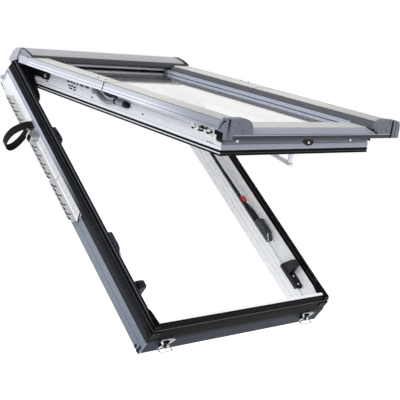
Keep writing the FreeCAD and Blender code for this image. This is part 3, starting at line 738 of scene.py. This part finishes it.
both("hood_rim", lambda p: rim(p, 33.5, 37), roof, RUBBER_MID, "hood_end_plastic")
piece("hood_outer_rim_right", rim(right(roof), 20.6, 28), RUBBER, "hood_end_plastic")
both("hood_end_cap", hood_end, roof, HOOD_END, "hood_end_plastic", ["hood_end"], bevel=1.2, segments=3)
both("hood_cheek_cap", hood_cheek, roof, CHEEK_SHADE, "hood_end_plastic", ["hood_cheek"], bevel=1.2, segments=3)
both("hood_cheek_edge", lambda p: across(p, cheek_brow, 32, 37), roof, HOOD_SHADE, "hood_end_plastic",
     bevel=0.5)

# Sash

FACE = 73
SASH_HALF = HALF - FACE
LOW = 76
HIGH = LENGTH - 46

outer_face = [(0, -56), (0, -47), (1.2, -46.4), (1.2, -45.4), (0, -44.8), (0, -39.4), (1.8, -38.6),
              (1.8, -36.6), (0, -36), (0, -25), (0.9, -24.4), (0.9, -23.2), (0, -22.6), (0, -14.6),
              (0.9, -14), (0.9, -13), (0, -12.4), (0, 0), (4, 2), (4, 12)]
inner_face = [(18, 12), (18, -24), (50, -24), (55, -26), (58, -30), (58, -40), (56.8, -41), (56.8, -43),
              (58, -44), (58, -56)]
low_face = [(0, -56), (-1.2, -54), (-1.2, -40), (0, -38.6), (2.6, -38), (2.6, -36.6), (1, -36), (1, -14),
            (4, -12), (4, 12)]
seal = [(-2, -57), (-2, -61), (-1, -62), (15, -62), (16, -60), (16, -56), (0, -56)]
bead = [(-0.6, -62), (-1.4, -63), (-1.4, -65), (-0.6, -66), (14, -66), (14, -62)]
lip = [(-1, -66), (-2, -67), (-2, -70.4), (0, -71), (12, -71), (14, -66)]


def sash_side(side, section):
    return mitred(shut, side, section, SASH_HALF, LOW, HIGH)


for side in SIDES:
    low = side == "bottom"
    piece("sash_profile_" + side, sash_side(side, (low_face if low else outer_face) + inner_face),
          BAR_SHADE if low else BAR, "sash_bar_plastic", ["sash_bar_" + side], bevel=0.5)
    piece("sash_gasket_" + side, sash_side(side, seal), RUBBER, "seal_black", ["sash_seal_" + side],
          bevel=0.5)
    piece("sash_bead_" + side, sash_side(side, bead), RUBBER_MID if low else TRIM, "seal_black", bevel=0.3)
    piece("sash_lip_" + side, sash_side(side, lip), RUBBER, "seal_black", bevel=0.3)

edge = 20
pane_x = SASH_HALF - edge
panes = (("outer", 0, 4, GLASS, ["glass_pane"]), ("inner", -24, -20, GLASS_IN, ()))
for name, low, high, clear, replaced in panes:
    piece("glass_" + name, block(shut, (-pane_x, LOW + edge, low), (pane_x, HIGH - edge, high)), clear,
          "glass_clear", replaced, bevel=0.4)
spacer = [(28, -20), (28, 0), (40, 0), (40, -20)]
for side in SIDES:
    piece("glass_spacer_" + side, sash_side(side, spacer), PVC, "glass_clear", bevel=0.5)


# Covers

cover_line = ([(16, 9)] + bend((21, 34), (23, 35.5), (50, 35.5), 8)
              + bend((92, 36), (113, 33), (118, 4), 9))
cap_line = ([(16, 5)] + bend((17, 26), (19, 42), (50, 43), 8)
            + bend((80, 44.5), (116, 42), (118, 12), 9))


def part_of(section, low, high):
    return [(i, m) for i, m in section if low <= i <= high]


def cover(place, low, high):
    """The outer face and crest of a side cover, down to a turned-in foot."""
    return along(place, part_of(cover_line, 0, 101.5) + [(97, 29), (24, 31), (19.5, 9)], low, high)


def cover_crest(place, low, high):
    line = part_of(cover_line, 25, 101.3)
    return along(place, [(x, z + 0.35) for x, z in line] + [(x, z - 0.6) for x, z in line[::-1]], low, high)


def cover_seam(place):
    """The joint between the two lengths of a side cover."""
    line = part_of(cover_line, 0, 112)
    return along(place, [(x - 0.5, z + 0.5) for x, z in line] + [(x + 0.4, z - 0.8) for x, z in line[::-1]],
                 joint - 2.2, joint + 2.2)


def cover_slope(place, low, high):
    """The inner slope down to the glass, with a step along its foot, darkened as painted shade."""
    return along(place, part_of(cover_line, 101.5, 118) + [(106, 12.4), (97, 28.5)], low, high)


def cover_crease(place):
    """A fine dark line along the outer face and another inside the crest, as painted shade."""
    return [block(place, (i, 34, m), (i + w, 1048, m + 1.3))
            for i, m, w in ((16.9, 15.5, 1.4), (24, 34.4, 3.0))]


joint = 584
spans = (("lower", 33.4, joint - 0.9), ("upper", joint + 0.9, 1049))
for name, low, high in spans:
    both("cover_" + name, lambda p: cover(p, low, high), shut, COVER, "cover_metal", ["sash_cover_" + name],
         bevel=0.4, sharp=24)
    both("cover_slope_" + name, lambda p: cover_slope(p, low, high), shut, COVER_SHADE, "cover_metal", bevel=0.4,
         sharp=24)
    both("cover_crest_" + name, lambda p: cover_crest(p, low, high), shut, CREST_HIGHLIGHT, "cover_metal", sharp=24)
    both("cover_foot_" + name, lambda p: along(p, [(15.7, 9), (18.4, 23), (19.4, 23), (16.8, 9)], low, high),
         shut, FOOT_LIGHT, "cover_metal", sharp=24)
both("cover_seam", cover_seam, shut, DRIP, "cover_metal")
tongue = [(16, 9), (16.6, 12), (20.4, 31.5), (20.6, 34), (20.6, 9)]
both("cover_tongue", lambda p: along(p, tongue, 1032, 1120), shut, COVER, "cover_metal", bevel=0.4)
both("cover_crease", cover_crease, shut, COVER_SHADE, "cover_metal")


def corner_cap(place):
    """The front half of the cap: a rounded end with a skirt below it."""
    line = [(36, 5), (36, 41.8)] + part_of(cap_line, 39, 118) + [(73, 12), (73, 5)]
    skirt = [(36, -12), (36, 14), (118, 14), (118, 0.3), (50, 0.3), (50, -12)]
    return [along(place, line, 9, 33), along(place, skirt, 9.2, 23)]


def corner_cheek(place):
    line = part_of(cap_line, 0, 33) + [(34, 41.4)]
    return [along(place, [(16.5, -12)] + line + [(34, -12)], 9, 21),
            along(place, [(17, 5)] + line + [(34, 5)], 21, 33)]


both("corner_cap_front", corner_cap, shut, CAP, "cap_plastic", ["corner_cap"], bevel=1.2, segments=3)
both("corner_cap_cheek", corner_cheek, shut, CAP_SIDE, "cap_plastic", bevel=1.6, segments=3)


def cap_seam(place, low, high):
    """The dark seam down the cap's front and back over its crest."""
    return along(place, [(low, -11.5), (low, 41), (low + 6, 42.4), (high, 42.6), (high, -11.5)], 8.6, 32.8)


piece("corner_cap_seam_left", cap_seam(left(shut), 26.6, 28.4), SHADE_AND_SEAM, "cap_plastic", bevel=0.2)
piece("corner_cap_seam_right", cap_seam(right(shut), 50, 58), RUBBER, "cap_plastic", bevel=0.4)


def cap_joint(place):
    """The slanted joint on the cap's side, and black blocks under it as painted shade."""
    return [across(place, [(14, 38), (15.2, 38), (30.2, 13), (29, 13)], 15.2, 24),
            block(place, (15.4, 12, -11.6), (30, 33, 7)), block(place, (34, 33, -8), (60, 66, 8))]


both("corner_cap_joint", cap_joint, shut, RUBBER, "cap_plastic")
gap = [(49, 13.6), (10.6, 4.5), (8.5, 2.8), (8.5, 1.2), (49, 10)]
piece("cover_end_gap_right", across(shut, gap, HALF - 126, HALF - 117.6), RUBBER, "cover_metal")
dot = [(1.8, -1), (1.8, 0.4), (1.2, 0.7)]
both("cap_dots", lambda p: [lathe(p, (i, 9, m), (0, -1, 0), dot, 16) for i, m in ((66, 33), (80, 12))],
     shut, RUBBER, "cap_plastic")

cover_reach = HALF - 118.4
drip_reach = HALF - 50.5
top_face = [(48, 13), (11, 3.9), (9, 2.6), (9.8, 1.4), (18, 1.4), (48, 10)]
flat = [(48, 11.9), (48, 13), (121, 13), (121, 4), (119.8, 4), (119.8, 11.9)]
bead = [(9, 0.6), (8.6, -0.6), (9, -1.8), (20, -1.8), (20, 0.6)]
drip = [(10.4, -2.6), (9.4, -4), (9, -11.4), (10, -12), (42, -12), (74, -8), (74, -2.6)]
core = [(12, 2), (12, -3), (74, -3), (74, 2)]
piece("bottom_cover_face", wide(shut, top_face, cover_reach), COVER_LOW_SHADE, "cover_metal",
      ["sash_cover_bottom"], bevel=0.4)
for name, section, reach, look, bevel in (("flat", flat, cover_reach, COVER_TOP_LIGHT, 0.3),
                                          ("bead", bead, drip_reach, BAR_SHADE, 0.3),
                                          ("drip", drip, drip_reach, DRIP, 0.5)):
    piece("bottom_cover_" + name, wide(shut, section, reach), look, "cover_metal", bevel=bevel)
piece("bottom_cover_core", wide(shut, core, drip_reach), RUBBER, "seal_black")

# Top cover with a bright bead and a second bead below it as painted reflection of the first, and the bright
# trims along the glass

TOP = HIGH - 58
DASH_PITCH = 12
roll = [(TOP + 30, 4), (TOP + 30, 19), (HIGH, 24), (HIGH, 12), (TOP + 36, 12), (TOP + 36, 4)]
foot = [(TOP + 25, 4), (TOP + 26, 8), (TOP + 32, 12), (TOP + 32, 4)]
piece("top_cover", wide(shut, roll, cover_reach), HOOD_SHADE, "cover_metal",
      ["sash_cover_top"], bevel=0.5)
# The lower bead stands for the upper one's reflection in the glass: painted reflection.
for name, m in (("upper", 15.6), ("lower", 11.8)):
    line = [shut(x, TOP + 28.5, m) for x in (-cover_reach, 0, cover_reach)]
    piece("top_bead_" + name, rod(line, 2.3, 12), STRIP, "cover_metal")
piece("top_cover_gasket", wide(shut, foot, cover_reach), RUBBER, "seal_black", bevel=0.4)


def side_trim(place):
    """The pale bead between the cover's slope and the glass, with two fine grooves."""
    section = [(117, 4), (114.6, 16), (116.2, 16.4), (117.6, 13.4), (117.3, 12.8), (118.2, 12), (119.4, 9.8),
               (119.1, 9.2), (119.9, 8.6), (122.4, 5.4), (123, 4)]
    return along(place, section, 121, TOP + 24)


def side_dashes(place):
    return [block(place, (117.4, y, 9.2), (119.0, y + 3, 11.4))
            for y in range(126, int(TOP) - DASH_PITCH, DASH_PITCH)]


both("glass_trim", side_trim, shut, BEAD_AND_HIGHLIGHT, "cover_metal", bevel=0.2)
both("glass_trim_marks", side_dashes, shut, BAR_DEEP, "cover_metal")
both("glass_gasket", lambda p: block(p, (122.6, 121, 4), (125, TOP + 24, 5.4)),
     shut, RUBBER, "seal_black", bevel=0.5)


def cover_dots(place, distances):
    dot = [(2.4, -1), (2.4, 0.5), (1.5, 0.9)]
    return [lathe(place, (40, u, 39.6), (0, 0, 1), dot, 16) for u in distances]


piece("cover_dots_left", cover_dots(left(flank), (533, 577)), RUBBER, "cover_metal")
piece("cover_dots_right", cover_dots(right(flank), (460, 497)), RUBBER, "cover_metal")

# Fittings on the long faces of the sash, placed by their distance from the hinge line

def hinge_arm(place):
    plate = [(52, -4), (176, -4), (186, -7), (190, -14), (188, -24), (180, -30), (150, -30), (138, -27),
             (70, -30), (52, -30)]
    return [across(place, plate, FACE - 8, FACE),
            lathe(place, (FACE - 8, 176, -17), (-1, 0, 0), [(9, -1), (9, 2), (7, 3), (3, 3)], 20),
            across(place, [(60, -8), (150, -6), (156, -10), (150, -14), (60, -16)], FACE - 11, FACE - 8)]


def bracket(place):
    """The black hinge leaf on the ledge, under the arm."""
    leaf = [(1092, 4), (1092, 44), (1060, 42), (1008, 30), (996, 20), (996, 4)]
    back = [(1092, 2), (1092, 46), (1132, 56), (1132, 30), (1110, 2)]
    return [across(place, leaf, 31, 62), across(place, back, 21, 118)]


both("hinge_leaf", bracket, roof, ARM, "arm_metal", bevel=1.5, segments=3)
both("hinge_arm_plate", hinge_arm, flank, ARM, "arm_metal", ["hinge_arm"], bevel=1.2, segments=3)
ring = [(6.0, 2.4), (6.2, 3.4), (4.6, 3.4), (4.4, 2.4)]
both("hinge_arm_ring", lambda p: lathe(p, (FACE - 9, 176, -17), (-1, 0, 0), ring, 20), flank, LOCK,
     "lock_metal", bevel=0.3)


def knuckle(place):
    path = smooth_line([(476, -9), (492, -12), (512, -19), (532, -28), (556, -32), (582, -28), (604, -22)], 4)
    radii = [9.5 + 1.5 * math.sin(math.pi * i / (len(path) - 1)) for i in range(len(path))]
    return [rod([place(FACE - 6.5, p.x, p.y) for p in path], radii, 14, 0.6,
                up=place(0, 0, 1) - place(0, 0, 0)),
            lathe(place, (FACE - 11, 484, -10), (-1, 0, 0),
                  [(11, -8), (11, 1), (9.5, 2.4), (5, 2.4), (4.6, 1.6)]),
            lathe(place, (FACE - 7, 612, -21), (0, 1, 0),
                  [(8, 0), (10, 2), (11, 8), (11, 34), (10, 40), (7, 42)])]


def knuckle_dark(place):
    start = (FACE - 7, 604, -21.5)
    return [lathe(place, start, (0, 1, 0), [(9.5, 0), (10.5, 1), (10.5, 5), (9.5, 7)]),
            lathe(place, start, (0, 1, 0), [(8, 48), (10.5, 50), (9, 56), (10.5, 62), (6, 72)], 10),
            lathe(place, (FACE - 12.6, 484, -10), (-1, 0, 0), [(3.4, 0), (3.4, 1.0), (2, 1.4)], 18),
            across(place, [(520, -6), (600, -6), (604, -12), (560, -18), (536, -14)], FACE - 2.5, FACE)]


both("pivot_arm", knuckle, flank, KNUCKLE, "knuckle_metal", ["pivot_knuckle"], bevel=0.5)
both("pivot_arm_dark", knuckle_dark, flank, ARM, "arm_metal", bevel=0.3)


def oblong(u, m, width, height):
    return [(u, m), (u + width, m), (u + width, m - height), (u, m - height)]


def lock(place):
    plate = [(972, 1), (1084, 1), (1086, -10), (1082, -31), (1040, -31), (1030, -27), (1000, -27), (972, -18)]
    blocks = ((984, -9, 10, 5), (1002, -8, 8, 6), (1050, -9, 12, 6), (1062, -22, 9, 7))
    return ([across(place, plate, FACE - 3, FACE)]
            + [across(place, oblong(*at), FACE - 9, FACE - 3) for at in blocks]
            + [rod([place(FACE - 5, u, -15) for u in (978, 1000, 1030, 1066)], 2.6, 12)])


def lock_dark(place):
    """The star in the middle of the lock, and the dark recesses and slots round it."""
    at = place(FACE - 3, 1024, -14)
    out = (place(FACE - 4, 1024, -14) - at).normalized()
    side = (place(FACE - 3, 1025, -14) - at).normalized()
    rise = out.cross(side)
    star = [(2 * math.pi * k / 24, 9 if k % 4 < 2 else 7) for k in range(24)]
    made = [loft([[at + out * (height * MM) + (side * math.cos(t) + rise * math.sin(t)) * (r * share * MM)
                   for t, r in star] for height, share in ((0, 1), (5, 1), (5, 0.5), (3, 0.45))])]
    for u, m, w, h in ((982, -17, 7, 5), (996, -14, 5, 4), (1008, -19, 8, 4), (1040, -6, 8, 7),
                       (1046, -17, 10, 6), (1060, -12, 8, 6)):
        made.append(across(place, [(u, m), (u + w, m - 1), (u + w - 1, m - h), (u + 1, m - h + 1)],
                           FACE - 8, FACE - 2))
    tail = [(1082, -5), (1110, -5), (1114, -34), (1088, -34), (1080, -24)]
    made.append(across(place, tail, FACE - 2, FACE))
    return made + [across(place, oblong(u, -42, 4, 3), FACE - 0.6, FACE) for u in (1046, 1054, 1060, 1069)]


both("lock_plate", lock, flank, LOCK, "lock_metal", ["lock_case"], bevel=0.6)
both("lock_dark", lock_dark, flank, ARM, "arm_metal", bevel=0.4)


SHADOW_TOOTH_PITCH = 9


def toothed_shadow(place):
    """The toothed dark edge along the sash side, under the covers: painted shadow of the covers."""
    teeth = [across(place, [(u, -2.4), (u + 4.5, -2.4), (u + 4, -4.6), (u + 0.5, -4.6)], FACE - 1.4, FACE)
             for u in range(196, 976, SHADOW_TOOTH_PITCH)]
    return [across(place, [(190, -1), (1076, -1), (1076, -2.6), (190, -2.6)], FACE - 1.4, FACE)] + teeth


both("toothed_cover_shadow", toothed_shadow, flank, ARM, "arm_metal")


def side_slots(place):
    slots = ((300, -10, 16), (322, -9, 14), (342, -10, 12), (362, -9, 10), (384, -9, 22), (414, -8, 24),
             (312, -22, 13), (330, -21, 10), (344, -23, 16), (318, -30, 20), (346, -31, 14))
    return [across(place, oblong(u, m, w, 4.4), FACE - 1, FACE) for u, m, w in slots]


both("side_slots", side_slots, flank, ARM, "sash_bar_plastic")
both("side_screws", lambda p: [screw(p, (FACE, u, m), (-1, 0, 0), 3.0, 1.4)
                              for u, m in ((170, -36), (460, -36), (742, -33))], flank, ARM,
     "sash_bar_plastic")

# Lower bar: screws and spindle hole, and the handle under it

# A dark band over the bar's recess under the bottom cover: painted shade.
band = [(LOW + 0.4, -13), (LOW + 2, -13), (LOW + 2, -35), (LOW + 0.4, -35)]
piece("bar_band", across(shut, band, -SASH_HALF + 1, SASH_HALF - 1), SHADE_AND_SEAM, "sash_bar_plastic", bevel=0.2)
screws = [screw(shut, (x, LOW - 0.6, m), (0, -1, 0), 4.6, 2.4) for x, m in ((-243, -30), (214, -31))]
piece("bar_screws", screws, CHROME, "sash_bar_plastic")
# A black plate where the spindle hole is: painted shade.
hole = [(12, -32), (18, -28), (30, -27), (48, -29), (55, -34), (54, -42), (46, -46), (32, -47), (20, -44),
        (13, -38)]
piece("spindle_hole_shade", upright(lambda x, y, z: shut(x, LOW - z, y), hole, -1, 1.8), ARM,
      "sash_bar_plastic", bevel=0.5)
spindle = lathe(shut, (34, LOW - 1.6, -37), (0, -1, 0), [(3.8, 0), (3.8, 1.4), (3, 2), (2, 2), (1.8, 1.2)])
piece("spindle", spindle, CHROME, "lock_metal")
handle_y = LOW + 30
rose = lathe(shut, (0, handle_y, -56), (0, 0, -1), [(13, 0), (13, 20), (12, 23), (9.5, 24), (8, 24)], 32)
neck_line = [shut(0, handle_y - 5, -76), shut(0, handle_y - 3, -90), shut(0, handle_y, -106)]
neck = rod(neck_line, [7.2, 7.0, 7.0], 20, up=Vector((0, 1, 0)))


LEVER_TILT = 18.0 / 105.0


def lever_place(x, y, z):
    """The lever's own plane, tilted towards the sash."""
    return shut(x, y, z + LEVER_TILT * (y - handle_y + 9))


bar = [(-10, handle_y - 9), (10, handle_y - 9), (9, handle_y + 56), (7.5, handle_y + 92),
       (0, handle_y + 96), (-7.5, handle_y + 92), (-9, handle_y + 56)]
lever = upright(lever_place, bar, -113.5, -105)
piece("lever_handle", [rose, neck, lever], HANDLE, "handle_metal", ["handle"], bevel=2.2, segments=4)


# Floor, light and camera

def calculate(owner, operation, a, b):
    """A sum or product of two node outputs, or of one and a number, kept within 0 and 1."""
    node = owner.node_tree.nodes.new("ShaderNodeMath")
    node.operation = operation
    node.use_clamp = True
    owner.node_tree.links.new(a, node.inputs[0])
    if isinstance(b, float):
        node.inputs[1].default_value = b
    else:
        owner.node_tree.links.new(b, node.inputs[1])
    return node.outputs[0]


FLOOR_LEVEL = -1.3
FLOOR_REACH = 30
FLOOR_GLOW = 0.6


def white_stage():
    """A white floor that stays white where the camera, reflections and the glass show it."""
    made, nodes, links = material("floor_white")
    nodes.remove(nodes["Principled BSDF"])
    matt = add(nodes, "ShaderNodeBsdfDiffuse", {"Color": (0.82, 0.82, 0.82, 1)})
    glow = nodes.new("ShaderNodeEmission")
    path = nodes.new("ShaderNodeLightPath")
    straight = calculate(made, "MULTIPLY", path.outputs["Is Camera Ray"], FLOOR_GLOW)
    through = calculate(made, "ADD", path.outputs["Is Glossy Ray"], path.outputs["Is Transmission Ray"])
    links.new(calculate(made, "ADD", through, straight), glow.inputs["Strength"])
    total = nodes.new("ShaderNodeAddShader")
    links.new(matt.outputs[0], total.inputs[0])
    links.new(glow.outputs[0], total.inputs[1])
    links.new(total.outputs[0], nodes["Material Output"].inputs["Surface"])
    return made


def floor():
    data = bpy.data.meshes.new("floor")
    r = FLOOR_REACH
    data.from_pydata([(x, y, FLOOR_LEVEL) for x, y in ((-r, -r), (r, -r), (r, r), (-r, r))], [], [(0, 1, 2, 3)])
    data.materials.append(white_stage())
    made = new_object("floor", data)


def sky(strength):
    """A soft sky light, and plain white where the camera, reflections and the glass show the sky."""
    world = bpy.data.worlds.new("studio")
    bpy.context.scene.world = world
    world.use_nodes = True
    nodes = world.node_tree.nodes
    links = world.node_tree.links
    ground = set_inputs(nodes["Background"], {"Color": (0.97, 0.98, 1.0, 1), "Strength": strength})
    white = add(nodes, "ShaderNodeBackground", {"Color": (1, 1, 1, 1)})
    path = nodes.new("ShaderNodeLightPath")
    seen = calculate(world, "ADD", path.outputs["Is Camera Ray"], path.outputs["Is Glossy Ray"])
    seen = calculate(world, "ADD", seen, path.outputs["Is Transmission Ray"])
    mix = nodes.new("ShaderNodeMixShader")
    links.new(seen, mix.inputs["Fac"])
    links.new(ground.outputs[0], mix.inputs[1])
    links.new(white.outputs[0], mix.inputs[2])
    links.new(mix.outputs[0], nodes["World Output"].inputs["Surface"])


def lamp(name, at, target, size, power):
    data = bpy.data.lights.new(name, "AREA")
    data.shape = "DISK"
    data.size = size
    data.energy = power
    made = new_object(name, data)
    made.location = at
    made.rotation_euler = (Vector(target) - Vector(at)).to_track_quat("-Z", "Y").to_euler()


# The photo's camera, from the fit: metres, degrees, and the focal length in the photo's pixels

CAMERA_AT = (-1.44773, -2.59723, 0.05835)
CAMERA_TURN = (-39.44018, 4.26757, -0.36999)
FOCAL = 885.152
PHOTO_WIDTH = 400.0
SENSOR = 36.0


def camera():
    az, el, roll = (math.radians(a) for a in CAMERA_TURN)
    back = Vector((math.sin(az) * math.cos(el), -math.cos(az) * math.cos(el), math.sin(el)))
    level = (-back).cross(Vector((0, 0, 1))).normalized()
    rise = level.cross(-back)
    across_axis = level * math.cos(roll) + rise * math.sin(roll)
    up_axis = rise * math.cos(roll) - level * math.sin(roll)
    data = bpy.data.cameras.new("camera")
    data.sensor_width = SENSOR
    data.lens = FOCAL * SENSOR / PHOTO_WIDTH
    data.clip_start = 0.05
    data.clip_end = 100.0
    made = new_object("camera", data)
    turn = Matrix((across_axis, up_axis, back)).transposed().to_4x4()
    made.matrix_world = Matrix.Translation(Vector(CAMERA_AT)) @ turn
    bpy.context.scene.camera = made


floor()
sky(0.8)
lamp("key", (-3.2, -1.6, 2.6), (0.35, -0.3, 0.1), 2.4, 80)
lamp("fill", (1.5, -4.0, 1.0), (0.4, -0.3, 0.0), 2.5, 20)
camera()
bpy.context.scene.view_settings.view_transform = "Standard"
